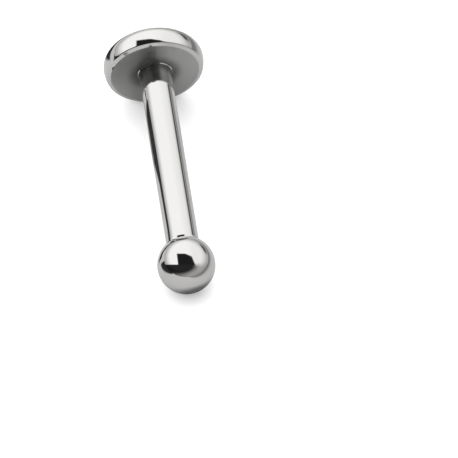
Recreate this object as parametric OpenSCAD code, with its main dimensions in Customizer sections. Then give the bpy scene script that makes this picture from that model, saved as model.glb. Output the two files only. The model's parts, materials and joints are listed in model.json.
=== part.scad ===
// Labret stud with a round disc at the back, a straight post and a ball that screws on.
// The stud lies on a flat surface as it would by itself: the disc's rim and the ball touch it.
// Each piece is drawn along its own axis, with z = 0 on the disc's inner face and +z towards
// the ball, and is then laid down. Millimetres.

/* [Post] */
// Diameter of the post, 14 gauge
post_d = 1.6; // [1.2:0.1:2.0]
// Length of the post from the disc's face to its open end
post_len = 11; // [8:0.5:16]
// Wall of the post around its bore
post_wall = 0.2; // [0.15:0.01:0.3]
// Length of the taper that nests in the ball
taper_len = 0.4; // [0.25:0.05:0.6]
// How much the taper takes off the post's radius
taper_in = 0.13; // [0.05:0.01:0.14]
// How far the spigot on the post's foot steps in from the post's radius
spigot_in = 0.2; // [0.1:0.01:0.3]
// Bevel on the spigot's end
foot_bevel = 0.1; // [0.05:0.01:0.2]

/* [Disc] */
// Diameter of the disc
disc_d = 5; // [4:0.1:7]
// Thickness of the disc at its centre
disc_t = 1.4; // [1.1:0.05:2]
// How far the back bulges past its rounded rim
dome_h = 0.08; // [0.04:0.01:0.2]
// Radial width of the polished bevel around the inner face
bevel_w = 0.2; // [0.1:0.01:0.3]
// Drop of that bevel below the face
bevel_drop = 0.09; // [0.05:0.01:0.2]
// How far the bevel's outer edge lies inside the greatest radius
rim_bulge = 0.1; // [0.05:0.01:0.2]
// Metal left behind the seat of the post's spigot
seat_floor = 0.45; // [0.3:0.05:0.7]
// Depth of the recess that takes the post's shoulder, below its bevelled mouth
shoulder_sink = 0.04; // [0.02:0.01:0.1]
// Bevel around the mouth of the recess
seat_mouth = 0.06; // [0.03:0.01:0.12]

/* [Ball] */
// Diameter of the ball
ball_d = 2.85; // [2.6:0.05:5]
// Depth of the dish that takes the post's end
dish_depth = 0.2; // [0.1:0.01:0.3]
// How far the dish's rim stands out around the post
dish_lip = 0.15; // [0.1:0.01:0.2]
// Play between the taper's end and the foot of the dish's wall
dish_play = 0.05; // [0.02:0.01:0.1]

/* [Threaded pin] */
// Pitch of the right-hand thread
pitch = 0.25; // [0.2:0.01:0.3]
// Length of the thread
thread_len = 1.3; // [0.8:0.05:2]
// Depth of the thread as a share of its pitch
thread_depth = 0.6; // [0.4:0.05:0.65]
// Length of the plain neck between the dish's floor and the thread
neck_len = 0.3; // [0.2:0.05:0.5]
// Length of the rounded tip
tip_len = 0.2; // [0.1:0.05:0.3]
// Diameter of the shank pressed into the ball
shank_d = 1.0; // [0.8:0.05:1.1]
// Length of that shank
shank_len = 1.1; // [0.7:0.1:1.2]

/* [Clearances] */
// Gap around the post's foot in the disc, and under its shoulder and spigot
seat_gap = 0.01; // [0.005:0.005:0.03]
// Gap between the post's end and the dish's floor
end_gap = 0.02; // [0.01:0.01:0.05]
// Gap between the thread's crests and the bore
bore_gap = 0.02; // [0.01:0.01:0.05]
// Gap around the shank in the ball
shank_gap = 0.01; // [0.005:0.005:0.03]
// Room past the pin's tip at the bottom of the bore
bore_room = 0.25; // [0.1:0.05:0.5]

/* [Hidden] */
$fn = 96;
steel = [0.78, 0.79, 0.80];
satin_steel = [0.62, 0.63, 0.64];
drill_angle = 59;      // half the point angle of a drill
rim_steps = 16;        // straight steps in the rim's rounding
dome_steps = 6;        // straight steps in the domed back
pin_sides = 20;        // sides of the threaded pin
rows_per_turn = 6;     // rings of points in each turn of the thread

// Radii that follow from the sizes above
post_r = post_d / 2;
bore_r = post_r - post_wall;
taper_r = post_r - taper_in;
spigot_r = post_r - spigot_in;
disc_r = disc_d / 2;
bevel_r = disc_r - rim_bulge;
face_r = bevel_r - bevel_w;
recess_r = post_r + seat_gap;
seat_r = spigot_r + seat_gap;
ball_r = ball_d / 2;
dish_r = post_r + dish_lip;
dish_floor_r = taper_r + dish_play;
thread_r = bore_r - bore_gap;
root_r = thread_r - thread_depth * pitch;
shank_r = shank_d / 2;
shank_hole_r = shank_r + shank_gap;

// Stations along the axis
seat_z = seat_floor - disc_t;
foot_z = seat_z + seat_gap;
recess_z = -seat_mouth - shoulder_sink;
shoulder_z = recess_z + seat_gap;
taper_z = post_len - taper_len;
dish_floor_z = post_len + end_gap;
dish_rim_z = dish_floor_z - dish_depth;
ball_z = dish_rim_z + sqrt(ball_r * ball_r - dish_r * dish_r);
thread_z = dish_floor_z - neck_len;
tip_z = thread_z - thread_len - tip_len;
bore_z = tip_z - bore_room;
shank_z = dish_floor_z + shank_len;

// The rim is one arc: it starts at the bevel's outer edge, reaches the disc's radius and runs
// over into the back's shallow dome without a crease
rim_run = disc_t - dome_h - bevel_drop;
rim_arc_r = rim_bulge + rim_run - sqrt(2 * rim_bulge * rim_run);
rim_arc_x = disc_r - rim_arc_r;
rim_arc_z = dome_h + rim_arc_r - disc_t;
dome_reach = rim_arc_r + dome_h;
dome_r = (rim_arc_x * rim_arc_x + dome_reach * dome_reach - rim_arc_r * rim_arc_r) / (2 * dome_h);
dome_z = dome_r - disc_t;
dome_angle = asin(rim_arc_x / (dome_r - rim_arc_r));
rim_start = asin((-bevel_drop - rim_arc_z) / rim_arc_r);
rim_end = dome_angle - 90;

// The lie of the stud: its axis slopes down to the smaller of the disc and the ball
lean_run = ball_z - rim_arc_z;
lean = acos((ball_r - rim_arc_r) / norm([rim_arc_x, lean_run])) - atan2(lean_run, rim_arc_x);
face_height = rim_arc_x * cos(lean) + rim_arc_r + rim_arc_z * sin(lean);
back_reach = abs(lean) < dome_angle
    ? dome_r - dome_z * cos(lean)
    : rim_arc_r - rim_arc_z * cos(lean) + rim_arc_x * abs(sin(lean));
front_reach = ball_z * cos(lean) + ball_r;
face_y = (front_reach - back_reach) / 2;

module lie_down() {
    translate([0, face_y, face_height])
        rotate([90 + lean, 0, 0])
            children();
}

// Points of an arc about [x, z] from one angle to another, in equal steps
function arc(x, z, r, from, to, steps) =
    [for (i = [0:steps]) let (a = from + (to - from) * i / steps) [x + r * cos(a), z + r * sin(a)]];

module disc() {
    seat = [
        [0, seat_z],
        [seat_r, seat_z],
        [seat_r, recess_z],
        [recess_r, recess_z],
        [recess_r, -seat_mouth],
        [recess_r + seat_mouth, 0]
    ];
    face = [[face_r, 0]];
    rim = arc(rim_arc_x, rim_arc_z, rim_arc_r, rim_start, rim_end, rim_steps);
    dome = arc(0, dome_z, dome_r, rim_end, -90, dome_steps);
    back = [for (i = [1:dome_steps]) dome[i]];
    color(satin_steel)
        lie_down()
            rotate_extrude()
                polygon(concat(seat, face, rim, back));
}

module post() {
    bore_point_z = bore_z - bore_r / tan(drill_angle);
    color(steel)
        lie_down()
            rotate_extrude()
                polygon([
                    [0, foot_z],
                    [spigot_r - foot_bevel, foot_z],
                    [spigot_r, foot_z + foot_bevel],
                    [spigot_r, shoulder_z],
                    [post_r, shoulder_z],
                    [post_r, taper_z],
                    [taper_r, post_len],
                    [bore_r, post_len],
                    [bore_r, bore_z],
                    [0, bore_point_z]
                ]);
}

module ball() {
    hole_z = shank_z + shank_gap;
    hole_point_z = hole_z + shank_hole_r / tan(drill_angle);
    dish_slope = (dish_r - dish_floor_r) / dish_depth;
    mouth_z = ball_z - ball_r;
    mouth_r = dish_r + dish_slope * (dish_rim_z - mouth_z);
    color(steel)
        lie_down()
            difference() {
                translate([0, 0, ball_z])
                    sphere(r = ball_r);
                rotate_extrude()
                    polygon([
                        [0, mouth_z],
                        [mouth_r, mouth_z],
                        [dish_floor_r, dish_floor_z],
                        [shank_hole_r, dish_floor_z],
                        [shank_hole_r, hole_z],
                        [0, hole_point_z]
                    ]);
            }
}

// Radius of the pin's thread: a flat crest and a flat root with straight flanks between them
function thread_height(turn) =
    let (t = turn - floor(turn), flat = 0.2, flank = 0.5 - flat)
    t < flat / 2 || t > 1 - flat / 2 ? 1
    : t < flat / 2 + flank ? 1 - (t - flat / 2) / flank
    : t > 1 - flat / 2 - flank ? 1 - (1 - flat / 2 - t) / flank
    : 0;
function tip_limit(z) =
    let (in = min(1, max(0, (z - tip_z) / tip_len)))
    root_r * 0.55 + (thread_r - root_r * 0.55) * sqrt(1 - pow(1 - in, 2));
function runout_limit(z) = root_r + max(0, thread_z - z);
function pin_r(z, a) =
    min(root_r + (thread_r - root_r) * thread_height(z / pitch - a / 360), tip_limit(z), runout_limit(z));

module threaded_pin() {
    rows = ceil((thread_len + tip_len) / pitch * rows_per_turn);
    thread_rings = [for (i = [0:rows]) let (z = tip_z + (thread_z - tip_z) * i / rows)
        [for (s = [0:pin_sides - 1]) let (a = 360 * s / pin_sides) [pin_r(z, a), a, z]]];
    plain = [
        [root_r, dish_floor_z],
        [shank_r, dish_floor_z],
        [shank_r, shank_z - foot_bevel],
        [shank_r - foot_bevel, shank_z]
    ];
    plain_rings = [for (p = plain) [for (s = [0:pin_sides - 1]) [p[0], 360 * s / pin_sides, p[1]]]];
    rings = concat(thread_rings, plain_rings);
    last = len(rings) - 1;
    points = [for (ring = rings) for (p = ring) [p[0] * cos(p[1]), p[0] * sin(p[1]), p[2]]];
    walls = [for (i = [0:last - 1]) for (s = [0:pin_sides - 1])
        let (a = i * pin_sides + s, b = i * pin_sides + (s + 1) % pin_sides)
        for (face = [[a, a + pin_sides, b], [b, a + pin_sides, b + pin_sides]]) face];
    tip_cap = [[for (s = [0:pin_sides - 1]) s]];
    shank_cap = [[for (s = [pin_sides - 1:-1:0]) last * pin_sides + s]];
    color(steel)
        lie_down()
            polyhedron(points, concat(walls, tip_cap, shank_cap));
}

disc();
post();
ball();
threaded_pin();
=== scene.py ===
"""Looks of a polished steel labret stud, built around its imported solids.

Lengths are in metres. Every piece is turned about the stud's axis: its profile is a list of
(radius, station) points. Station 0 is the disc's inner face, and stations grow towards the ball.
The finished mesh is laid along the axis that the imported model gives.
"""

import json
import math
from types import SimpleNamespace

import bmesh
import bpy
from bpy.props import FloatProperty, FloatVectorProperty, IntProperty, PointerProperty
from bpy.types import Operator, Panel, PropertyGroup
from mathutils import Matrix, Vector


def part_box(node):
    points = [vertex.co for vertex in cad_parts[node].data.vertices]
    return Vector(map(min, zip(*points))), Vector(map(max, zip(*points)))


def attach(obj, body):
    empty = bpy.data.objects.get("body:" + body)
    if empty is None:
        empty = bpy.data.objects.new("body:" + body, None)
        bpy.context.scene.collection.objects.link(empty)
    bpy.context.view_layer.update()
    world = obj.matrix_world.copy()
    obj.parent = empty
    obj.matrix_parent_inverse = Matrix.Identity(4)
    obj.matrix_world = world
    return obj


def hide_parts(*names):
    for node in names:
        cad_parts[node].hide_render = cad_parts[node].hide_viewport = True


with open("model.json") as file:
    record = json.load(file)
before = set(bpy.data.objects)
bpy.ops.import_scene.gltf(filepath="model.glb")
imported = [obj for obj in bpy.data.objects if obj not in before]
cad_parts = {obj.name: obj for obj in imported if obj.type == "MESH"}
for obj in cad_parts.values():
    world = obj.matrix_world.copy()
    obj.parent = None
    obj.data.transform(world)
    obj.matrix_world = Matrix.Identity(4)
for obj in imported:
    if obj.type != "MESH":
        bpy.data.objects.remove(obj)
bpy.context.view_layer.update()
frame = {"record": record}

bl_info = {
    "name": "Labret stud",
    "version": (1, 0, 0),
    "blender": (4, 5, 0),
    "location": "View3D > Sidebar > Labret stud",
    "description": "Builds a polished labret stud with a disc, a post, a ball and its threaded pin",
    "category": "Add Mesh",
}

MM = 0.001

# The stud's axis, its disc's face and its post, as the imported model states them
MOUNTS = {mount["name"]: mount for mount in frame["record"]["mounts"]}
AXIS = Vector(MOUNTS["disc_face"]["axis"]).normalized()
ACROSS = Vector((1, 0, 0))
ABOVE = AXIS.cross(ACROSS).normalized()
FACE_CENTRE = Vector((0, *MOUNTS["disc_face"]["pos_m"][1:]))
STUD_FRAME = Matrix.Translation(FACE_CENTRE) @ Matrix((ACROSS, ABOVE, AXIS)).transposed().to_4x4()
POST_DIAMETER = 2 * MM * MOUNTS["post"]["dims"]["r_mm"]

# How finely the pieces are turned, and what is merged or left sharp
TURNED_SEGMENTS = 256
THREAD_SEGMENTS = 128
THREAD_ROWS_PER_TURN = 24
MERGE_DISTANCE = 2e-7
SHARP_ANGLE = math.radians(38)
# Half the point angle of a drill
DRILL_ANGLE = math.radians(59)


# Sizes and colours


def width_of(node):
    """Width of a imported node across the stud, to the nearest twentieth of a millimetre."""
    low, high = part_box(node)
    step = 0.05 * MM
    return round((high.x - low.x) / step) * step


def length_setting(name, description, default, precision=5):
    """A length that a user may change."""
    return FloatProperty(
        name=name, description=description, default=default, precision=precision, unit="LENGTH"
    )


def share_setting(name, description, default, low=0.0, high=1.0):
    """A share that a user may change."""
    return FloatProperty(
        name=name, description=description, default=default, min=low, max=high, subtype="FACTOR"
    )


def light_setting(name, description, default):
    """A strength of light that a user may change."""
    return FloatProperty(name=name, description=description, default=default, min=0)


def colour_setting(name, description, default):
    """A colour that a user may change."""
    return FloatVectorProperty(
        name=name, description=description, default=default, min=0, max=1, subtype="COLOR"
    )


class DiscSizes(PropertyGroup):
    diameter: length_setting("Diameter", "Diameter of the disc", width_of("disc"))
    thickness: length_setting("Thickness", "Thickness of the disc at its centre", 1.4 * MM)
    dome_height: length_setting("Dome height", "How far the back bulges past its rounded rim", 0.08 * MM)
    bevel_width: length_setting(
        "Bevel width", "Radial width of the polished bevel round the inner face", 0.2 * MM
    )
    bevel_drop: length_setting("Bevel drop", "Drop of that bevel below the face", 0.09 * MM)
    rim_bulge: length_setting(
        "Rim bulge", "How far the bevel's outer edge lies inside the greatest radius", 0.1 * MM
    )
    rim_start: FloatProperty(
        name="Rim start",
        description="Angle in degrees by which the rim leans in where it meets the bevel",
        default=23,
    )
    crease: length_setting("Crease", "Rounding of the crease between the bevel and the rim", 0.11 * MM)
    seat_floor: length_setting(
        "Seat floor", "Metal left behind the seat of the post's spigot", 0.45 * MM
    )
    shoulder_sink: length_setting(
        "Shoulder sink", "Depth of the recess for the post's shoulder, below its mouth", 0.04 * MM
    )
    mouth: length_setting(
        "Mouth", "Width of the lip round the recess, and how far its wall runs down", 0.06 * MM
    )
    lip: length_setting(
        "Lip", "Height of the lip that the press raises round the post, a bright ring", 0.04 * MM
    )
    groove_count: IntProperty(
        name="Turned grooves",
        description="Shallow grooves that the tool left round the post's foot",
        default=3,
        min=0,
    )
    groove_spacing: length_setting("Groove spacing", "Radial distance between those grooves", 0.07 * MM)
    groove_depth: length_setting("Groove depth", "Depth of those grooves", 0.006 * MM, precision=6)


class PostSizes(PropertyGroup):
    diameter: length_setting("Diameter", "Diameter of the post", POST_DIAMETER)
    length: length_setting("Length", "Length of the post from the disc's face to its open end", 11 * MM)
    taper_length: length_setting("Taper length", "Length of the taper that nests in the ball", 0.4 * MM)
    taper_depth: length_setting(
        "Taper depth", "How much the taper takes off the post's radius", 0.13 * MM
    )
    spigot_step: length_setting(
        "Spigot step", "How far the spigot on the post's foot steps in", 0.2 * MM
    )
    bevel: length_setting(
        "Foot bevel", "Bevel on the ends of the spigot and of the pin's shank", 0.1 * MM
    )
    wall: length_setting("Wall", "Wall of the post outside the roots of its internal thread", 0.2 * MM)
    seat_gap: length_setting(
        "Seat gap", "Gap round the post's foot in the disc, and under its shoulder", 0.01 * MM
    )


class BallSizes(PropertyGroup):
    diameter: length_setting("Diameter", "Diameter of the ball", width_of("ball"))
    dish_depth: length_setting("Dish depth", "Depth of the dish that takes the post's end", 0.2 * MM)
    dish_lip: length_setting("Dish lip", "How far the dish's rim stands out round the post", 0.15 * MM)
    dish_play: length_setting(
        "Dish play", "Play between the taper's end and the foot of the dish's wall", 0.05 * MM
    )
    end_gap: length_setting("End gap", "Gap between the post's end and the dish's floor", 0.02 * MM)
    press_gap: length_setting("Press gap", "Gap round the pin's shank in the ball", 0.01 * MM)


class ThreadSizes(PropertyGroup):
    pitch: length_setting("Pitch", "Pitch of the right-hand thread", 0.25 * MM)
    length: length_setting("Length", "Length of the pin's thread, without its tip", 1.3 * MM)
    tip: length_setting("Tip", "Length of the pin's rounded tip", 0.2 * MM)
    neck: length_setting(
        "Neck", "Length of the plain neck between the dish's floor and the thread", 0.3 * MM
    )
    depth: share_setting("Depth", "Depth of the thread as a share of its pitch", 0.6, low=0.1, high=0.65)
    play: length_setting("Play", "Radial gap between the pin's thread and the post's", 0.02 * MM)
    shank_diameter: length_setting(
        "Shank diameter", "Diameter of the shank pressed into the ball", 1.0 * MM
    )
    shank_length: length_setting("Shank length", "Length of that shank", 1.1 * MM)
    bore_room: length_setting(
        "Bore room", "Room past the pin's tip at the bottom of the bore", 0.25 * MM
    )


class FinishSettings(PropertyGroup):
    polish_colour: colour_setting("Polished steel", "Colour of the polished steel", (0.60, 0.595, 0.585))
    polish_roughness: share_setting("Polish roughness", "Mean roughness of the polish", 0.05)
    polish_wave: length_setting(
        "Polish wave", "Height of the faint wave left by the polishing wheel", 0.0022 * MM, precision=6
    )
    turned_colour: colour_setting(
        "Turned steel", "Colour of the disc's turned face", (0.50, 0.50, 0.495)
    )
    turned_roughness: share_setting("Turned roughness", "Mean roughness of the turned face", 0.42)
    # Painted shade: the turned face's colour darkens towards the post's foot
    painted_foot_shade: share_setting(
        "Painted foot shade", "How bright the turned face's middle is beside the rest of it", 0.34
    )
    foot_shade_radius: length_setting(
        "Foot shade radius", "Distance from the axis where the turned face is fully bright", 1.5 * MM
    )
    turned_stretch: share_setting(
        "Turned stretch", "How far the turning rings spread the light along the radius", 0.2
    )
    ring_height: length_setting(
        "Ring height", "Height of the fine turning rings and thread marks", 0.0012 * MM, precision=6
    )
    cut_colour: colour_setting("Cut steel", "Colour of the threads", (0.50, 0.495, 0.48))
    cut_roughness: share_setting("Cut roughness", "Mean roughness of the threads", 0.24)


class StudioSettings(PropertyGroup):
    roof: light_setting("Tent roof", "Brightness of the light tent above and on the left", 1.48)
    left_wall: light_setting(
        "Left wall", "Brightness of the tent's left wall where it meets the table", 0.6
    )
    right_wall: light_setting(
        "Right wall", "Brightness of the tent's right wall where it meets the table", 0.6
    )
    opening: light_setting(
        "Opening", "Brightness of the dark opening that the camera looks through", 0.02
    )
    lamp: light_setting("Lamp", "Strength of the soft lamp above", 3.6)
    floor_glow: light_setting("Floor glow", "Light that comes through the floor", 0.14)
    floor_ramp: length_setting(
        "Floor's ramp", "How far the floor slopes down ahead of the ball", 20 * MM
    )
    floor_colour: colour_setting("Floor", "Colour of the white floor", (0.80, 0.80, 0.80))
    # Painted shade: the floor is dimmer in the steel's reflections than to the camera
    mirrored_white: share_setting(
        "Mirrored white", "Whiteness of the floor as the steel mirrors it", 0.45
    )
    # Painted shade: the mirrored floor darkens far to the right
    mirrored_far_shade: share_setting(
        "Mirrored far shade", "How bright that floor is far to the right, beside the rest of it", 0.35
    )
    backdrop_colour: colour_setting("Backdrop", "Colour behind the floor", (1.0, 1.0, 1.0))


# Profiles, turned meshes and finished pieces


def rounded(corners, steps=4):
    """Points of a profile whose corners (radius, station, rounding) are rounded off by arcs.
    A guard point on either side of each arc keeps the shading of the straight parts flat."""
    most_of_side = 0.4
    guard_share = 0.2
    points = []
    for i, (radius, station, rounding) in enumerate(corners):
        here = Vector((radius, station))
        if not rounding or i in (0, len(corners) - 1):
            points.append((radius, station))
            continue
        back = Vector(corners[i - 1][:2]) - here
        ahead = Vector(corners[i + 1][:2]) - here
        half = back.angle(ahead) / 2
        shorter = min(back.length, ahead.length)
        reach = min(rounding / math.tan(half), most_of_side * shorter)
        arc_radius = reach * math.tan(half)
        back.normalize()
        ahead.normalize()
        centre = here + (back + ahead).normalized() * (arc_radius / math.sin(half))
        start = here + back * reach - centre
        turn = (here + ahead * reach - centre).angle_signed(start)
        guard = reach * (1 + guard_share)
        points.append(tuple(here + back * guard))
        for step in range(steps + 1):
            spoke = Matrix.Rotation(turn * step / steps, 2) @ start
            points.append(tuple(centre + spoke))
        points.append(tuple(here + ahead * guard))
    return points


def arc(radius, station, arc_radius, first, last, steps):
    """Points of an arc about (radius, station), from one angle to another in degrees."""
    angles = [math.radians(first + (last - first) * i / steps) for i in range(steps + 1)]
    return [
        (radius + arc_radius * math.cos(angle), station + arc_radius * math.sin(angle))
        for angle in angles
    ]


def turned(profile, segments):
    """A mesh turned from a profile. A point on the axis becomes a single vertex."""
    on_axis = 1e-8
    vertices, rings, faces = [], [], []
    for radius, station in profile:
        first = len(vertices)
        if radius < on_axis:
            vertices.append((0, 0, station))
            rings.append([first] * segments)
            continue
        for i in range(segments):
            angle = math.tau * i / segments
            vertices.append((radius * math.cos(angle), radius * math.sin(angle), station))
        rings.append([first + i for i in range(segments)])
    for one, other in zip(rings, rings[1:]):
        for i in range(segments):
            j = (i + 1) % segments
            corners = [one[i], one[j], other[j], other[i]]
            faces.append(list(dict.fromkeys(corners)))
    mesh = bpy.data.meshes.new("turned")
    mesh.from_pydata(vertices, [], [face for face in faces if len(face) > 2])
    return mesh


def finish_piece(name, node, body, meshes, finishes, second_finish=None):
    """Joins meshes into one closed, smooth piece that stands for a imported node, lays it along
    the stud's axis and hooks it up.

    A face has the first of the named finishes, or the second where second_finish(radius,
    station, rise) is true. Its normal rises towards the ball by rise."""
    joined = bmesh.new()
    for mesh in meshes:
        joined.from_mesh(mesh)
        bpy.data.meshes.remove(mesh)
    bmesh.ops.remove_doubles(joined, verts=joined.verts, dist=MERGE_DISTANCE)
    bmesh.ops.recalc_face_normals(joined, faces=joined.faces)
    for face in joined.faces:
        face.smooth = True
        face.material_index = 0
        if second_finish:
            centre = face.calc_center_median()
            radius = math.hypot(centre.x, centre.y)
            face.material_index = int(second_finish(radius, centre.z, face.normal.z))
    mesh = bpy.data.meshes.new(name)
    joined.to_mesh(mesh)
    joined.free()
    mesh.set_sharp_from_angle(angle=SHARP_ANGLE)
    mesh.transform(STUD_FRAME)
    for finish in finishes:
        mesh.materials.append(finished(finish))
    piece = bpy.data.objects.new(name, mesh)
    bpy.context.scene.collection.objects.link(piece)
    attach(piece, body)
    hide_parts(node)


# Shader and geometry node helpers


def add(tree, kind, inputs=None, **settings):
    """Adds a node. inputs maps a socket's name or number to a value or to another node's output."""
    node = tree.nodes.new(kind)
    for key, value in settings.items():
        setattr(node, key, value)
    for key, value in (inputs or {}).items():
        if isinstance(value, bpy.types.NodeSocket):
            tree.links.new(value, node.inputs[key])
        else:
            node.inputs[key].default_value = value
    return node


def calculate(tree, operation, *values):
    """A Math node's output."""
    return add(tree, "ShaderNodeMath", dict(enumerate(values)), operation=operation).outputs[0]


def product(tree, values):
    """All the values multiplied."""
    total, *others = values
    for value in others:
        total = calculate(tree, "MULTIPLY", total, value)
    return total


def vector(tree, operation, *values):
    """A Vector Math node's vector."""
    return add(tree, "ShaderNodeVectorMath", dict(enumerate(values)), operation=operation).outputs[0]


def measure(tree, operation, *values):
    """A Vector Math node's value, such as a length or a distance."""
    node = add(tree, "ShaderNodeVectorMath", dict(enumerate(values)), operation=operation)
    return node.outputs["Value"]


def ramp(tree, value, low, high, to_low=0.0, to_high=1.0):
    """value from low to high, mapped smoothly to to_low to to_high and held outside."""
    inputs = {
        "Value": value,
        "From Min": low,
        "From Max": high,
        "To Min": to_low,
        "To Max": to_high,
    }
    return add(tree, "ShaderNodeMapRange", inputs, interpolation_type="SMOOTHSTEP").outputs[0]


def mix(tree, share, one, other):
    """one where share is 0, other where it is 1."""
    return add(tree, "ShaderNodeMix", {0: share, 2: one, 3: other}, data_type="FLOAT").outputs[0]


def region(tree, x, y, edges):
    """1 inside every edge and 0 outside. An edge keeps what has x_share * x + y_share * y over
    its limit, and is blurred to either side of it."""
    masks = []
    for edge in edges:
        weighed = calculate(tree, "MULTIPLY", y, edge["y_share"])
        reach = calculate(tree, "MULTIPLY_ADD", x, edge["x_share"], weighed)
        low = edge["limit"] - edge["blur"]
        high = edge["limit"] + edge["blur"]
        masks.append(ramp(tree, reach, low, high))
    return product(tree, masks)


# Materials


def steel(name, colour):
    """A bare metal material. Returns the material, its tree and its shader node."""
    material = bpy.data.materials.new(name)
    material.use_nodes = True
    tree = material.node_tree
    shader = tree.nodes["Principled BSDF"]
    shader.inputs["Base Color"].default_value = (*colour, 1)
    shader.inputs["Metallic"].default_value = 1
    return material, tree, shader


def turning_coordinates(tree):
    """The point in the stud's own frame, with the axis as Z, so that rings lie round the axis."""
    back_to_axis = STUD_FRAME.inverted()
    inputs = {
        "Vector": add(tree, "ShaderNodeTexCoord").outputs["Object"],
        "Location": back_to_axis.to_translation(),
        "Rotation": back_to_axis.to_euler(),
    }
    return add(tree, "ShaderNodeMapping", inputs).outputs[0]


def stretched(tree, point, across, along):
    """A point whose pattern is drawn out by small scales across the axis or along it."""
    return vector(tree, "MULTIPLY", point, (across, across, along))


def noise(tree, point, per_metre, detail=2.0):
    """Noise over a point, with so many features per metre."""
    inputs = {"Vector": point, "Scale": per_metre, "Detail": detail}
    return add(tree, "ShaderNodeTexNoise", inputs).outputs[0]


def ring_noise(tree, radius, per_metre, detail=2.0):
    """Noise over the distance from the axis, which makes rings."""
    inputs = {"W": radius, "Scale": per_metre, "Detail": detail}
    return add(tree, "ShaderNodeTexNoise", inputs, noise_dimensions="1D").outputs[0]


def roughen(tree, shader, pattern, mean, least, most, calm=0.3):
    """Makes the roughness wander with a noise pattern, from least to most times its mean."""
    rough = 0.7
    wandering = ramp(tree, pattern, calm, rough, mean * least, mean * most)
    tree.links.new(wandering, shader.inputs["Roughness"])


def bump(tree, height, distance, normal=None):
    """A normal raised by height times distance, on top of another bump's normal if there is one."""
    inputs = {"Height": height, "Distance": distance}
    if normal is not None:
        inputs["Normal"] = normal
    return add(tree, "ShaderNodeBump", inputs).outputs[0]


def polished_steel(name, finish):
    """Mirror polish: a faint wave left by the wheel, hairline marks and a little haze."""
    material, tree, shader = steel(name, finish.polish_colour)
    point = turning_coordinates(tree)
    wave = noise(tree, point, per_metre=900, detail=1.0)
    hairlines = noise(tree, stretched(tree, point, across=1, along=0.08), per_metre=26000)
    hairline_height = 0.02 * finish.polish_wave
    haze = noise(tree, point, per_metre=2600, detail=3.0)
    roughen(tree, shader, haze, finish.polish_roughness, least=0.6, most=1.6, calm=0.35)
    waved = bump(tree, wave, finish.polish_wave)
    marked = bump(tree, hairlines, hairline_height, normal=waved)
    tree.links.new(marked, shader.inputs["Normal"])
    return material


def turned_steel(name, finish):
    """Fine turning: rings round the axis, which spread the light along the radius. The colour is
    darkened towards the middle, round the post's foot, by painted shade."""
    material, tree, shader = steel(name, finish.turned_colour)
    point = turning_coordinates(tree)
    outwards = stretched(tree, point, across=1, along=0)
    radius = measure(tree, "LENGTH", outwards)
    # Painted shade: the turned face's colour darkens towards the post's foot
    darkest_within = 0.55 * finish.foot_shade_radius
    foot_shading = ramp(tree, radius, darkest_within, finish.foot_shade_radius, finish.painted_foot_shade, 1.0)
    tint = {0: finish.turned_colour, "Scale": foot_shading}
    tinted = add(tree, "ShaderNodeVectorMath", tint, operation="SCALE").outputs[0]
    tree.links.new(tinted, shader.inputs["Base Color"])
    smears = noise(tree, point, per_metre=1300, detail=3.0)
    roughen(tree, shader, smears, finish.turned_roughness, least=0.85, most=1.15)
    broad_rings = ring_noise(tree, radius, per_metre=5200, detail=1.0)
    fine_rings = ring_noise(tree, radius, per_metre=26000)
    broad = bump(tree, broad_rings, 2 * finish.ring_height)
    fine = bump(tree, fine_rings, finish.ring_height, normal=broad)
    tree.links.new(fine, shader.inputs["Normal"])

    # The light is spread along the radius, which is turned back from the stud's own frame
    shader.inputs["Anisotropic"].default_value = finish.turned_stretch
    inputs = {"Vector": outwards, "Rotation": STUD_FRAME.to_euler()}
    turned_back = add(tree, "ShaderNodeMapping", inputs, vector_type="VECTOR").outputs[0]
    tree.links.new(turned_back, shader.inputs["Tangent"])
    return material


def cut_steel(name, finish):
    """Threads as the die and the tap leave them, with patches and fine marks along the cut."""
    material, tree, shader = steel(name, finish.cut_colour)
    point = turning_coordinates(tree)
    marks = noise(tree, stretched(tree, point, across=0.2, along=1), per_metre=42000)
    patches = noise(tree, point, per_metre=3500, detail=3.0)
    roughen(tree, shader, patches, finish.cut_roughness, least=0.7, most=1.3)
    tree.links.new(bump(tree, marks, finish.ring_height), shader.inputs["Normal"])
    return material


FINISHES = {
    "Polished steel": polished_steel,
    "Turned steel": turned_steel,
    "Cut steel": cut_steel,
}


def finished(name):
    """The named material, made the first time that a piece asks for it."""
    found = bpy.data.materials.get(name)
    return found or FINISHES[name](name, bpy.context.scene.stud_finish)


# The helical thread


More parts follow.
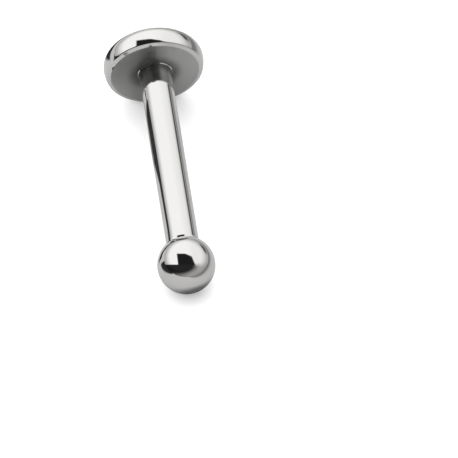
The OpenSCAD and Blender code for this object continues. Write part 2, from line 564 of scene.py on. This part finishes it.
def thread_tree():
    """Geometry nodes for a threaded sleeve: a grid bent round the axis, whose radius follows
    the helix. The radius is held down towards a round tip and a run-out, and up at a mouth."""
    tree = bpy.data.node_groups.new("Threaded sleeve", "GeometryNodeTree")
    sizes = {
        "Start": 0.0,
        "Length": MM,
        "Pitch": 0.25 * MM,
        "Crest radius": 0.58 * MM,
        "Root radius": 0.43 * MM,
        "Crest flat": 0.2,
        "Tip length": 0.2 * MM,
        "Tip radius": 0.24 * MM,
        "Run-out from": MM,
        "Mouth radius": 0.0,
        "Mouth at": 1.0,
    }
    for name, default in sizes.items():
        socket = tree.interface.new_socket(name, in_out="INPUT", socket_type="NodeSocketFloat")
        socket.default_value = default
    for name, default in {"Segments": 96, "Rows": 160}.items():
        socket = tree.interface.new_socket(name, in_out="INPUT", socket_type="NodeSocketInt")
        socket.default_value = default
    tree.interface.new_socket("Material", in_out="INPUT", socket_type="NodeSocketMaterial")
    tree.interface.new_socket("Geometry", in_out="OUTPUT", socket_type="NodeSocketGeometry")
    given = add(tree, "NodeGroupInput").outputs

    def work(operation, *values):
        return calculate(tree, operation, *values)

    # A flat grid, whose X is the share of a turn and whose Y is the station
    one_more = {0: given["Segments"], 1: 1}
    columns = add(tree, "FunctionNodeIntegerMath", one_more, operation="ADD").outputs[0]
    grid_inputs = {"Size X": 1.0, "Size Y": 1.0, "Vertices X": columns, "Vertices Y": given["Rows"]}
    grid = add(tree, "GeometryNodeMeshGrid", grid_inputs).outputs["Mesh"]
    position = add(tree, "GeometryNodeInputPosition").outputs[0]
    place = add(tree, "ShaderNodeSeparateXYZ", {0: position}).outputs
    share = work("ADD", place[0], 0.5)
    station = work("MULTIPLY_ADD", work("ADD", place[1], 0.5), given["Length"], given["Start"])

    # The thread's own profile: a flat crest, straight flanks and a flat root
    turn = work("FRACT", work("SUBTRACT", work("DIVIDE", station, given["Pitch"]), share))
    from_crest = work("MINIMUM", turn, work("SUBTRACT", 1.0, turn))
    past_flat = work("SUBTRACT", from_crest, work("MULTIPLY", given["Crest flat"], 0.5))
    flank = work("SUBTRACT", 0.5, given["Crest flat"])
    fall = work("MINIMUM", work("MAXIMUM", work("DIVIDE", past_flat, flank), 0.0), 1.0)
    depth = work("SUBTRACT", given["Crest radius"], given["Root radius"])
    cut = work("SUBTRACT", given["Crest radius"], work("MULTIPLY", depth, fall))

    # The round tip, the run-out and the mouth
    into_tip = work("DIVIDE", work("SUBTRACT", station, given["Start"]), given["Tip length"])
    left = work("SUBTRACT", 1.0, work("MINIMUM", work("MAXIMUM", into_tip, 0.0), 1.0))
    rise = work("SQRT", work("SUBTRACT", 1.0, work("MULTIPLY", left, left)))
    tip_rise = work("SUBTRACT", given["Crest radius"], given["Tip radius"])
    tip_limit = work("MULTIPLY_ADD", tip_rise, rise, given["Tip radius"])
    to_run_out = work("MAXIMUM", work("SUBTRACT", given["Run-out from"], station), 0.0)
    run_out_limit = work("ADD", given["Root radius"], to_run_out)
    held = work("MINIMUM", work("MINIMUM", cut, tip_limit), run_out_limit)
    mouth_limit = work("ADD", given["Mouth radius"], work("SUBTRACT", station, given["Mouth at"]))
    radius = work("MAXIMUM", held, mouth_limit)

    # The grid is bent round the axis and closed
    angle = work("MULTIPLY", share, math.tau)
    bent_inputs = {
        0: work("MULTIPLY", radius, work("COSINE", angle)),
        1: work("MULTIPLY", radius, work("SINE", angle)),
        2: station,
    }
    bent = add(tree, "ShaderNodeCombineXYZ", bent_inputs).outputs[0]
    steps = (
        ("GeometryNodeSetPosition", {"Position": bent}),
        ("GeometryNodeMergeByDistance", {"Distance": MERGE_DISTANCE}),
        ("GeometryNodeRealizeInstances", {}),
        ("GeometryNodeSetMaterial", {"Material": given["Material"]}),
    )
    geometry = grid
    for kind, inputs in steps:
        geometry = add(tree, kind, {"Geometry": geometry, **inputs}).outputs[0]
    add(tree, "NodeGroupOutput", {0: geometry})
    return tree


def threaded_sleeve(pitch, start, end, values):
    """A plain mesh of the threaded sleeve, in the stud's own frame. values are by input name."""
    length = end - start
    given = {
        "Pitch": pitch,
        "Start": start,
        "Length": length,
        "Segments": THREAD_SEGMENTS,
        "Rows": round(length / pitch * THREAD_ROWS_PER_TURN) + 1,
        **values,
    }
    tree = bpy.data.node_groups.get("Threaded sleeve") or thread_tree()
    carrier = bpy.data.objects.new("sleeve", bpy.data.meshes.new("sleeve"))
    bpy.context.scene.collection.objects.link(carrier)
    modifier = carrier.modifiers.new("Thread", "NODES")
    modifier.node_group = tree
    for item in tree.interface.items_tree:
        if item.in_out == "INPUT" and item.name in given:
            modifier[item.identifier] = given[item.name]
    graph = bpy.context.evaluated_depsgraph_get()
    mesh = bpy.data.meshes.new_from_object(carrier.evaluated_get(graph))
    carrier.modifiers.remove(modifier)
    empty = carrier.data
    bpy.data.objects.remove(carrier)
    bpy.data.meshes.remove(empty)
    return mesh


# Pieces


def stations():
    """Stations along the axis, and radii, that several pieces share."""
    scene = bpy.context.scene
    disc, post, ball, thread = scene.stud_disc, scene.stud_post, scene.stud_ball, scene.stud_thread
    at = SimpleNamespace()
    at.post_r = post.diameter / 2
    at.taper_r = at.post_r - post.taper_depth
    at.spigot_r = at.post_r - post.spigot_step
    at.recess_floor = -disc.mouth - disc.shoulder_sink
    at.seat_floor = disc.seat_floor - disc.thickness
    at.dish_floor = post.length + ball.end_gap
    at.dish_rim = at.dish_floor - ball.dish_depth
    at.dish_r = at.post_r + ball.dish_lip
    at.bore_r = at.post_r - post.wall
    at.crest_r = at.bore_r - thread.play
    at.root_r = at.crest_r - thread.depth * thread.pitch
    at.thread_end = at.dish_floor - thread.neck
    at.tip = at.thread_end - thread.length - thread.tip
    at.shank_end = at.dish_floor + thread.shank_length
    return at


def seat_corners(disc, post, at, edge):
    """The seat for the post's foot, the lip round it and the grooves round the lip."""
    seat_r = at.spigot_r + post.seat_gap
    recess_r = at.post_r + post.seat_gap
    lip_end = recess_r + disc.mouth
    corners = [
        (0, at.seat_floor, 0),
        (seat_r, at.seat_floor, 0),
        (seat_r, at.recess_floor, 0),
        (recess_r, at.recess_floor, 0),
        (recess_r, disc.lip, edge),
        (recess_r + disc.mouth / 2, disc.lip, edge),
        (lip_end, 0, edge),
    ]
    groove_half = 0.3 * disc.groove_spacing
    for i in range(disc.groove_count):
        groove_r = lip_end + disc.groove_spacing * (i + 1)
        corners += [
            (groove_r - groove_half, 0, edge),
            (groove_r, -disc.groove_depth, edge),
            (groove_r + groove_half, 0, edge),
        ]
    return corners


def rim_arcs(disc):
    """The rim and the domed back. The rim is two arcs that meet at the greatest radius, and the
    lower one runs over into the back's shallow dome without a crease."""
    rim_r = disc.diameter / 2
    upper_r = disc.rim_bulge / (1 - math.cos(math.radians(disc.rim_start)))
    widest = -disc.bevel_drop - upper_r * math.sin(math.radians(disc.rim_start))
    lower_r = disc.thickness - disc.dome_height + widest
    lower_x = rim_r - lower_r
    reach = lower_r + disc.dome_height
    dome_r = (lower_x**2 + reach**2 - lower_r**2) / (2 * disc.dome_height)
    rim_to = math.degrees(math.asin(lower_x / (dome_r - lower_r))) - 90
    upper = arc(rim_r - upper_r, widest, upper_r, disc.rim_start, 0, steps=16)
    lower = arc(lower_x, widest, lower_r, 0, rim_to, steps=40)
    dome = arc(0, dome_r - disc.thickness, dome_r, rim_to, -90, steps=16)
    return upper, lower[1:] + dome[1:-1] + [(0, -disc.thickness)]


class STUD_OT_disc(Operator):
    """Make the disc with its seat, turned face, polished bevel, rounded rim and domed back"""

    bl_idname = "stud.disc"
    bl_label = "Disc"

    def execute(self, context):
        disc = context.scene.stud_disc
        post = context.scene.stud_post
        at = stations()
        edge = 0.012 * MM
        face_edge = 4 * edge
        bevel_r = disc.diameter / 2 - disc.rim_bulge
        face_r = bevel_r - disc.bevel_width
        face_from = at.post_r + post.seat_gap
        upper_rim, rest = rim_arcs(disc)
        # The crease's rounding takes the place of the rim's first points
        after_crease = 3
        corners = seat_corners(disc, post, at, edge) + [
            (face_r, 0, face_edge),
            (bevel_r, -disc.bevel_drop, disc.crease),
            (*upper_rim[after_crease], 0),
        ]
        profile = rounded(corners) + upper_rim[after_crease + 1 :] + rest
        level = 0.9

        def on_face(radius, station, rise):
            return rise > level and station > -edge and face_from < radius < face_r

        finish_piece(
            "labret_disc",
            "disc",
            "stem",
            [turned(profile, TURNED_SEGMENTS)],
            ("Polished steel", "Turned steel"),
            on_face,
        )
        return {"FINISHED"}


class STUD_OT_post(Operator):
    """Make the post with its spigot, tapered open end and internal thread"""

    bl_idname = "stud.post"
    bl_label = "Post"

    def execute(self, context):
        disc = context.scene.stud_disc
        post = context.scene.stud_post
        thread = context.scene.stud_thread
        at = stations()
        edge = 0.01 * MM
        mouth_bevel = 0.015 * MM
        foot = at.seat_floor + post.seat_gap
        shoulder = at.recess_floor + post.seat_gap
        mouth_r = at.bore_r + mouth_bevel
        outside = [
            (0, foot, 0),
            (at.spigot_r - post.bevel, foot, 0),
            (at.spigot_r, foot + post.bevel, 0),
            (at.spigot_r, shoulder, 0),
            (at.post_r, shoulder, 0),
            (at.post_r, -disc.mouth, 0),
            (at.post_r, post.length - post.taper_length, edge),
            (at.taper_r, post.length, edge),
            (mouth_r, post.length, 0),
        ]
        # The tapped bore: its ridges lie in the pin's grooves, a play away
        thread_from = at.tip - thread.bore_room / 2
        bore_end = at.tip - thread.bore_room
        drill_r = at.root_r + thread.play
        bore_point = bore_end - drill_r / math.tan(DRILL_ANGLE)
        shape = {
            "Crest radius": at.bore_r,
            "Root radius": drill_r,
            "Tip length": thread.pitch / 2,
            "Tip radius": drill_r,
            "Run-out from": post.length + thread.pitch,
            "Mouth radius": mouth_r,
            "Mouth at": post.length,
        }
        bore = [(drill_r, thread_from), (drill_r, bore_end), (0, bore_point)]
        hair = 1e-7

        def in_bore(radius, station, rise):
            return station > bore_point and radius < mouth_r - hair

        finish_piece(
            "labret_post",
            "post",
            "stem",
            [
                turned(rounded(outside), THREAD_SEGMENTS),
                threaded_sleeve(thread.pitch, thread_from, post.length, shape),
                turned(bore, THREAD_SEGMENTS),
            ],
            ("Polished steel", "Cut steel"),
            in_bore,
        )
        return {"FINISHED"}


class STUD_OT_ball(Operator):
    """Make the polished ball with the dish that takes the post's end"""

    bl_idname = "stud.ball"
    bl_label = "Ball"

    def execute(self, context):
        ball = context.scene.stud_ball
        thread = context.scene.stud_thread
        at = stations()
        edge = 0.015 * MM
        ball_r = ball.diameter / 2
        centre = at.dish_rim + math.sqrt(ball_r**2 - at.dish_r**2)
        hole_r = thread.shank_diameter / 2 + ball.press_gap
        hole_end = at.shank_end + ball.press_gap
        hole_point = hole_end + hole_r / math.tan(DRILL_ANGLE)
        floor_r = at.taper_r + ball.dish_play
        # The skin starts a little way up from the dish's rim, to leave room for its rounding
        rim_angle = math.degrees(math.atan2(at.dish_rim - centre, at.dish_r))
        first_step = 1.2
        skin = arc(0, centre, ball_r, rim_angle + first_step, 90, steps=150)
        corners = [
            (0, hole_point, 0),
            (hole_r, hole_end, 0),
            (hole_r, at.dish_floor, 0),
            (floor_r, at.dish_floor, 0),
            (at.dish_r, at.dish_rim, edge),
            (*skin[0], 0),
        ]
        profile = rounded(corners) + skin[1:-1] + [(0, centre + ball_r)]

        def in_dish(radius, station, rise):
            return radius < at.dish_r - edge and station < at.dish_floor + edge

        finish_piece(
            "labret_ball",
            "ball",
            "ball_end",
            [turned(profile, TURNED_SEGMENTS)],
            ("Polished steel", "Turned steel"),
            in_dish,
        )
        return {"FINISHED"}


class STUD_OT_pin(Operator):
    """Make the pin with its helical thread, neck and pressed shank"""

    bl_idname = "stud.pin"
    bl_label = "Threaded pin"

    def execute(self, context):
        post = context.scene.stud_post
        thread = context.scene.stud_thread
        at = stations()
        edge = 0.02 * MM
        tip_share = 0.55
        tip_r = tip_share * at.root_r
        shank_r = thread.shank_diameter / 2
        shape = {
            "Crest radius": at.crest_r,
            "Root radius": at.root_r,
            "Tip length": thread.tip,
            "Tip radius": tip_r,
            "Run-out from": at.thread_end,
        }
        cap = [(0, at.tip), (tip_r, at.tip)]
        shank = [
            (at.root_r, at.thread_end, 0),
            (at.root_r, at.dish_floor, edge),
            (shank_r, at.dish_floor, 0),
            (shank_r, at.shank_end - post.bevel, 0),
            (shank_r - post.bevel, at.shank_end, 0),
            (0, at.shank_end, 0),
        ]
        finish_piece(
            "labret_pin",
            "threaded_pin",
            "ball_end",
            [
                threaded_sleeve(thread.pitch, at.tip, at.thread_end, shape),
                turned(cap, THREAD_SEGMENTS),
                turned(rounded(shank), THREAD_SEGMENTS),
            ],
            ("Cut steel",),
        )
        return {"FINISHED"}


# Camera

# The photo's frame is 458 pixels square, and the middle of the disc's face is at FACE_PIXEL
FRAME_PIXELS = 458
FOCAL_PIXELS = 10000
FACE_PIXEL = (155.06, 73.44)
CAMERA_DISTANCE = 494.9 * MM
CAMERA_AZIMUTH = math.radians(-7.657)
CAMERA_ELEVATION = math.radians(48.43)
CAMERA_RIGHT = Vector((math.cos(CAMERA_AZIMUTH), math.sin(CAMERA_AZIMUTH), 0))
CAMERA_BACK = Vector(
    (
        math.sin(CAMERA_AZIMUTH) * math.cos(CAMERA_ELEVATION),
        -math.cos(CAMERA_AZIMUTH) * math.cos(CAMERA_ELEVATION),
        math.sin(CAMERA_ELEVATION),
    )
)
CAMERA_UP = CAMERA_BACK.cross(CAMERA_RIGHT)


def make_camera():
    """The camera, placed so that the middle of the disc's face falls on its pixel."""
    sensor = 36
    data = bpy.data.cameras.new("camera")
    data.sensor_width = sensor
    data.lens = sensor * FOCAL_PIXELS / FRAME_PIXELS
    data.clip_start = 10 * MM
    data.clip_end = 10
    camera = bpy.data.objects.new("camera", data)
    per_pixel = CAMERA_DISTANCE / FOCAL_PIXELS
    right_by = (FACE_PIXEL[0] - FRAME_PIXELS / 2) * per_pixel
    down_by = (FACE_PIXEL[1] - FRAME_PIXELS / 2) * per_pixel
    middle = FACE_CENTRE - CAMERA_RIGHT * right_by + CAMERA_UP * down_by
    camera.location = middle + CAMERA_BACK * CAMERA_DISTANCE
    axes = Matrix((CAMERA_RIGHT, CAMERA_UP, CAMERA_BACK)).transposed()
    camera.rotation_mode = "QUATERNION"
    camera.rotation_quaternion = axes.to_quaternion()
    bpy.context.scene.collection.objects.link(camera)
    bpy.context.scene.camera = camera


# Light tent


def tent_walls(tree, direction, studio):
    """Brightness of the walls, which darken towards the table, most of all on the right. Heights
    and places are parts of the direction, from 0 to 1."""
    way = add(tree, "ShaderNodeSeparateXYZ", {0: direction}).outputs
    east, north, height = way["X"], way["Y"], way["Z"]
    right_roof = 0.9 * studio.roof
    left_wall = ramp(tree, height, low=-0.02, high=0.5, to_low=studio.left_wall, to_high=studio.roof)
    right_wall = ramp(tree, height, low=0.0, high=0.62, to_low=studio.right_wall, to_high=right_roof)
    to_the_right = ramp(tree, east, low=0.0, high=0.6)
    walls = mix(tree, to_the_right, left_wall, right_wall)

    # A dark slit runs above the table at the back on the right
    slit_height, slit_core, slit_reach = 0.17, 0.05, 0.15
    slit_light = 0.15
    off_slit = calculate(tree, "ABSOLUTE", calculate(tree, "SUBTRACT", height, slit_height))
    on_the_right = ramp(tree, east, low=0.5, high=0.7)
    at_the_back = ramp(tree, north, low=0.3, high=0.55)
    at_its_height = ramp(tree, off_slit, slit_core, slit_reach, to_low=1.0, to_high=0.0)
    slit = product(tree, [on_the_right, at_the_back, at_its_height])
    return calculate(tree, "MULTIPLY", walls, mix(tree, slit, 1.0, slit_light))


def opening_block(tree, x, y):
    """The opening's upper part, a leaning block: 1 inside it and 0 outside."""
    edges = (
        {"x_share": 1, "y_share": 0.117, "limit": -0.28},
        {"x_share": 0, "y_share": -1, "limit": -0.395},
        {"x_share": -0.39, "y_share": -0.92, "limit": -0.35},
        {"x_share": -0.925, "y_share": -0.38, "limit": -0.29},
        {"x_share": 0, "y_share": 1, "limit": 0.0},
    )
    blur = 0.02
    return region(tree, x, y, [{**edge, "blur": blur} for edge in edges])


def opening_bowl(tree, x, y, studio):
    """What the opening's lower part leaves of the light. It is the lower half of an ellipse,
    which fades out towards the table and whose straight edge is softer on the right."""
    middle_x, middle_y = -0.26, 0.02
    half_width, depth = 0.6, 0.33
    dark_within, lit_from, table_light = 0.78, 1.45, 0.78
    sharp, soft = 0.015, 0.11
    off_x = calculate(tree, "DIVIDE", calculate(tree, "SUBTRACT", x, middle_x), half_width)
    off_y = calculate(tree, "DIVIDE", calculate(tree, "SUBTRACT", y, middle_y), depth)
    off_y_square = calculate(tree, "MULTIPLY", off_y, off_y)
    off_square = calculate(tree, "MULTIPLY_ADD", off_x, off_x, off_y_square)
    off = calculate(tree, "SQRT", off_square)
    light = ramp(tree, off, dark_within, lit_from, studio.opening, table_light)
    blur = ramp(tree, x, low=0.2, high=0.4, to_low=sharp, to_high=soft)
    over = calculate(tree, "ADD", blur, middle_y)
    under = calculate(tree, "SUBTRACT", middle_y, blur)
    below = ramp(tree, y, under, over, to_low=1.0, to_high=0.0)
    return mix(tree, below, 1.0, light)


def make_tent(studio):
    """A light tent in world directions: bright above and on the left, darker low on the right,
    with a dark opening in front. The opening is drawn in the picture that a mirror ball gives of
    it: x to the right and y up, from -1 to 1, as the ball shows it to the camera."""
    world = bpy.data.worlds.new("Light tent")
    bpy.context.scene.world = world
    world.use_nodes = True
    tree = world.node_tree
    direction = add(tree, "ShaderNodeTexCoord").outputs["Generated"]
    walls = tent_walls(tree, direction, studio)
    halfway = vector(tree, "NORMALIZE", vector(tree, "ADD", direction, CAMERA_BACK))
    x = measure(tree, "DOT_PRODUCT", halfway, CAMERA_RIGHT)
    y = measure(tree, "DOT_PRODUCT", halfway, CAMERA_UP)
    dimmed = calculate(tree, "MULTIPLY", walls, opening_bowl(tree, x, y, studio))
    light = mix(tree, opening_block(tree, x, y), dimmed, studio.opening)
    background = tree.nodes["Background"]
    background.inputs["Color"].default_value = (1, 1, 1, 1)
    tree.links.new(light, background.inputs["Strength"])

    # Behind the floor the camera sees a plain backdrop
    backdrop = add(tree, "ShaderNodeBackground", {"Color": (*studio.backdrop_colour, 1)})
    seen = add(tree, "ShaderNodeLightPath").outputs["Is Camera Ray"]
    shown = {0: seen, 1: background.outputs[0], 2: backdrop.outputs[0]}
    mixed = add(tree, "ShaderNodeMixShader", shown).outputs[0]
    tree.links.new(mixed, tree.nodes["World Output"].inputs["Surface"])


def make_lamp(studio):
    """A wide soft lamp from the upper left, at the back. It lights the floor alone, because the
    steel mirrors the tent."""
    comes_from = Vector((-0.45, 0.05, 0.9))
    spread = math.radians(130)
    data = bpy.data.lights.new("lamp", "SUN")
    data.angle = spread
    data.energy = studio.lamp
    lamp = bpy.data.objects.new("lamp", data)
    lamp.rotation_mode = "QUATERNION"
    lamp.rotation_quaternion = comes_from.to_track_quat("Z", "Y")
    lamp.visible_glossy = False
    bpy.context.scene.collection.objects.link(lamp)


# Floor and card


def matt_sheet(name, rows):
    """A sheet through rows of two points each, with a matt material. Returns the object and its
    shader."""
    mesh = bpy.data.meshes.new(name)
    vertices = [point for row in rows for point in row]
    faces = [(i, i + 2, i + 3, i + 1) for i in range(0, len(vertices) - 2, 2)]
    mesh.from_pydata(vertices, [], faces)
    paper = bpy.data.materials.new(name)
    paper.use_nodes = True
    shader = paper.node_tree.nodes["Principled BSDF"]
    shader.inputs["Roughness"].default_value = 1
    shader.inputs["Specular IOR Level"].default_value = 0
    mesh.materials.append(paper)
    sheet = bpy.data.objects.new(name, mesh)
    bpy.context.scene.collection.objects.link(sheet)
    return sheet, shader


def hide_from_all_but_gloss(sheet):
    """Leaves a sheet to be seen by reflections alone."""
    sheet.visible_camera = False
    sheet.visible_diffuse = False
    sheet.visible_shadow = False


def floor_rows(height, ramp_run):
    """Rows of a wide floor. From under the ball's middle it slopes down as the stud's axis does,
    for the length of ramp_run, so that the ball stays on it when it is drawn off the post."""
    half_width = 2.0
    low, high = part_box("ball")
    ramp_start = low.y + (high.x - low.x) / 2
    drop = ramp_run * AXIS.z / AXIS.y
    rows = [
        (half_width, height),
        (ramp_start, height),
        (ramp_start - ramp_run, height - drop),
        (-half_width, height - drop),
    ]
    return [[(x, y, z) for x in (-half_width, half_width)] for y, z in rows]


def make_floor(studio):
    """A wide floor that glows a little, as a light table does. The steel doesn't mirror it."""
    floor, shader = matt_sheet("floor", floor_rows(0, studio.floor_ramp))
    floor.visible_glossy = False
    shader.inputs["Base Color"].default_value = (*studio.floor_colour, 1)
    shader.inputs["Emission Color"].default_value = (1, 1, 1, 1)
    shader.inputs["Emission Strength"].default_value = studio.floor_glow


def make_mirrored_floor(studio):
    """The floor that the steel mirrors, a hair above the other one: a dimmer copy of it, seen in
    reflections alone, with painted light and shade. It is white near the stud and darkened far to
    the right by painted shade, with painted dark reflections and painted shade in places."""
    hair = 0.002 * MM
    mirrored, shader = matt_sheet("mirrored floor", floor_rows(hair, studio.floor_ramp))
    hide_from_all_but_gloss(mirrored)
    tree = shader.id_data
    point = add(tree, "ShaderNodeTexCoord").outputs["Object"]
    place = add(tree, "ShaderNodeSeparateXYZ", {0: point}).outputs
    x, y = place["X"], place["Y"]

    # Painted dark reflections: a dark strip lies behind the disc on the left, and a dark wedge beside
    # the ball
    strip_edges = (
        {"x_share": -1, "y_share": 0, "limit": 3.3 * MM, "blur": 0.5 * MM},
        {"x_share": 1, "y_share": 0.22, "limit": -11 * MM, "blur": 2.5 * MM},
        {"x_share": 0, "y_share": 1, "limit": 10.5 * MM, "blur": 0.8 * MM},
        {"x_share": 0, "y_share": -1, "limit": -21 * MM, "blur": 3.0 * MM},
    )
    wedge_edges = (
        {"x_share": -1, "y_share": 0, "limit": 5.5 * MM, "blur": 0.8 * MM},
        {"x_share": -0.41, "y_share": -1, "limit": 5.9 * MM, "blur": 0.3 * MM},
        {"x_share": -0.66, "y_share": 1, "limit": -2.0 * MM, "blur": 1.5 * MM},
    )
    strip = region(tree, x, y, strip_edges)
    wedge = region(tree, x, y, wedge_edges)
    dark = calculate(tree, "MAXIMUM", strip, wedge)
    dark_white = 0.02

    # Painted shade in the floor's colour under the post's foot and beside it, where the disc mirrors
    # it, and under the front of the ball
    shades = (
        {"x": 0, "y": 4.3 * MM, "reach": 1.5 * MM, "light": 0.3},
        {"x": -1.2 * MM, "y": 3.1 * MM, "reach": 2.0 * MM, "light": 0.4},
        {"x": 0.5 * MM, "y": -7.0 * MM, "reach": 2.0 * MM, "light": 0.35},
    )
    core_share = 0.25
    # Painted shade: the mirrored floor darkens from near the stud to far on the right
    near, far = 2 * MM, 22 * MM
    far_right_shade = studio.mirrored_far_shade * studio.mirrored_white
    lights = [ramp(tree, x, near, far, to_low=studio.mirrored_white, to_high=far_right_shade)]
    for shade in shades:
        off = measure(tree, "DISTANCE", point, (shade["x"], shade["y"], 0))
        core = core_share * shade["reach"]
        lights.append(ramp(tree, off, core, shade["reach"], to_low=shade["light"], to_high=1.0))
    # The painted light and shade and the painted dark reflections make the mirrored floor's colour
    white = mix(tree, dark, product(tree, lights), dark_white)
    colour = add(tree, "ShaderNodeCombineColor", {0: white, 1: white, 2: white})
    tree.links.new(colour.outputs[0], shader.inputs["Base Color"])


def make_card():
    """A black card that stands beside the stud on the left, lower than what the disc mirrors.
    It darkens the left edges of the post and the ball."""
    black = (0.06, 0.06, 0.06, 1)
    x = -2.5 * MM
    outline = (
        {"y": -4.9, "foot": 0.65, "top": 1.7},
        {"y": -2.4, "foot": 1.4, "top": 2.2},
        {"y": 0.4, "foot": 1.45, "top": 2.4},
        {"y": 2.4, "foot": 0.2, "top": 2.55},
        {"y": 5.4, "foot": 0.0, "top": 2.7},
    )
    rows = [[(x, at["y"] * MM, at[end] * MM) for end in ("foot", "top")] for at in outline]
    card, shader = matt_sheet("dark card", rows)
    hide_from_all_but_gloss(card)
    shader.inputs["Base Color"].default_value = black


class STUD_OT_stage(Operator):
    """Make the camera, the light tent and the floor"""

    bl_idname = "stud.stage"
    bl_label = "Camera, light and floor"

    def execute(self, context):
        studio = context.scene.stud_studio
        context.scene.view_settings.view_transform = "Standard"
        make_camera()
        make_tent(studio)
        make_lamp(studio)
        make_floor(studio)
        make_mirrored_floor(studio)
        make_card()
        return {"FINISHED"}


# Panel and registration


class STUD_PT_panel(Panel):
    """Lists the stud's pieces, sizes and finishes"""

    bl_idname = "STUD_PT_panel"
    bl_label = "Labret stud"
    bl_space_type = "VIEW_3D"
    bl_region_type = "UI"
    bl_category = "Labret stud"

    def draw(self, context):
        layout = self.layout
        for operator in OPERATORS:
            layout.operator(operator.bl_idname)
        for holder in SETTINGS:
            group = getattr(context.scene, holder)
            layout.label(text=holder.replace("stud_", "").capitalize())
            for name in group.__annotations__:
                layout.prop(group, name)


OPERATORS = (STUD_OT_stage, STUD_OT_disc, STUD_OT_post, STUD_OT_ball, STUD_OT_pin)
SETTINGS = {
    "stud_disc": DiscSizes,
    "stud_post": PostSizes,
    "stud_ball": BallSizes,
    "stud_thread": ThreadSizes,
    "stud_finish": FinishSettings,
    "stud_studio": StudioSettings,
}


def register():
    for holder, group in SETTINGS.items():
        bpy.utils.register_class(group)
        setattr(bpy.types.Scene, holder, PointerProperty(type=group))
    for operator in OPERATORS:
        bpy.utils.register_class(operator)
    bpy.utils.register_class(STUD_PT_panel)


def unregister():
    bpy.utils.unregister_class(STUD_PT_panel)
    for operator in reversed(OPERATORS):
        bpy.utils.unregister_class(operator)
    for holder, group in SETTINGS.items():
        delattr(bpy.types.Scene, holder)
        bpy.utils.unregister_class(group)


def main():
    register()
    bpy.ops.stud.stage()
    bpy.ops.stud.disc()
    bpy.ops.stud.post()
    bpy.ops.stud.ball()
    bpy.ops.stud.pin()


if __name__ == "__main__":
    main()
